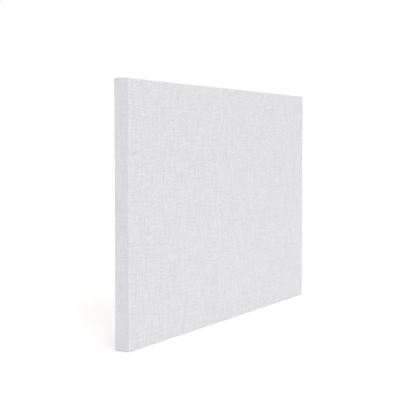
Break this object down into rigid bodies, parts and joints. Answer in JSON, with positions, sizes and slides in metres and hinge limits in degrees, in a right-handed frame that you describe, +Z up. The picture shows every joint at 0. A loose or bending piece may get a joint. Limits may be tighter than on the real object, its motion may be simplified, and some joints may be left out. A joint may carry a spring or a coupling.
{
  "type": "stretched canvas",
  "caption": "Gallery-wrapped painting canvas: primed cotton stretched over a keyed wooden stretcher frame with an upright cross brace, stapled on the back.",
  "frame": {"origin": "middle of the base: the lower long side that the canvas stands on, halfway along and halfway through its depth", "axes": "+X along the long side, to the right seen from the front; +Y through the depth from the painting face to the back; +Z up"},
  "size_m": [0.9156, 0.0392, 0.6108],
  "materials": {
    "primed_cotton": "matte white gesso",
    "pine": "planed, unfinished",
    "brace_pine": "planed, unfinished",
    "key_beech": "sawn, unfinished",
    "staple_steel": "galvanized wire"
  },
  "bodies": {
    "frame": {"canvas": "primed_cotton", "top_bar": "pine", "right_bar": "pine", "bottom_bar": "pine", "left_bar": "pine", "cross_brace": "brace_pine", "top_staples": "staple_steel", "right_staples": "staple_steel", "bottom_staples": "staple_steel", "left_staples": "staple_steel"},
    "key_top_right_across": {"key_top_right_across": "key_beech"},
    "key_top_left_across": {"key_top_left_across": "key_beech"},
    "key_bottom_right_across": {"key_bottom_right_across": "key_beech"},
    "key_bottom_left_across": {"key_bottom_left_across": "key_beech"},
    "key_top_right_upright": {"key_top_right_upright": "key_beech"},
    "key_top_left_upright": {"key_top_left_upright": "key_beech"},
    "key_bottom_right_upright": {"key_bottom_right_upright": "key_beech"},
    "key_bottom_left_upright": {"key_bottom_left_upright": "key_beech"},
    "brace_key_top_right": {"brace_key_top_right": "key_beech"},
    "brace_key_top_left": {"brace_key_top_left": "key_beech"},
    "brace_key_bottom_right": {"brace_key_bottom_right": "key_beech"},
    "brace_key_bottom_left": {"brace_key_bottom_left": "key_beech"}
  },
  "joints": [
    {"name": "key_top_right_across_slide", "type": "slide", "parent": "frame", "child": "key_top_right_across", "axis": [-1, 0, 0], "range_m": [0, 0.018]},
    {"name": "key_top_left_across_slide", "type": "slide", "parent": "frame", "child": "key_top_left_across", "axis": [1, 0, 0], "range_m": [0, 0.018]},
    {"name": "key_bottom_right_across_slide", "type": "slide", "parent": "frame", "child": "key_bottom_right_across", "axis": [-1, 0, 0], "range_m": [0, 0.018]},
    {"name": "key_bottom_left_across_slide", "type": "slide", "parent": "frame", "child": "key_bottom_left_across", "axis": [1, 0, 0], "range_m": [0, 0.018]},
    {"name": "key_top_right_upright_slide", "type": "slide", "parent": "frame", "child": "key_top_right_upright", "axis": [0, 0, -1], "range_m": [0, 0.018]},
    {"name": "key_top_left_upright_slide", "type": "slide", "parent": "frame", "child": "key_top_left_upright", "axis": [0, 0, -1], "range_m": [0, 0.018]},
    {"name": "key_bottom_right_upright_slide", "type": "slide", "parent": "frame", "child": "key_bottom_right_upright", "axis": [0, 0, 1], "range_m": [0, 0.018]},
    {"name": "key_bottom_left_upright_slide", "type": "slide", "parent": "frame", "child": "key_bottom_left_upright", "axis": [0, 0, 1], "range_m": [0, 0.018]},
    {"name": "brace_key_top_right_slide", "type": "slide", "parent": "frame", "child": "brace_key_top_right", "axis": [1, 0, 0], "range_m": [0, 0.018]},
    {"name": "brace_key_top_left_slide", "type": "slide", "parent": "frame", "child": "brace_key_top_left", "axis": [-1, 0, 0], "range_m": [0, 0.018]},
    {"name": "brace_key_bottom_right_slide", "type": "slide", "parent": "frame", "child": "brace_key_bottom_right", "axis": [1, 0, 0], "range_m": [0, 0.018]},
    {"name": "brace_key_bottom_left_slide", "type": "slide", "parent": "frame", "child": "brace_key_bottom_left", "axis": [-1, 0, 0], "range_m": [0, 0.018]}
  ]
}
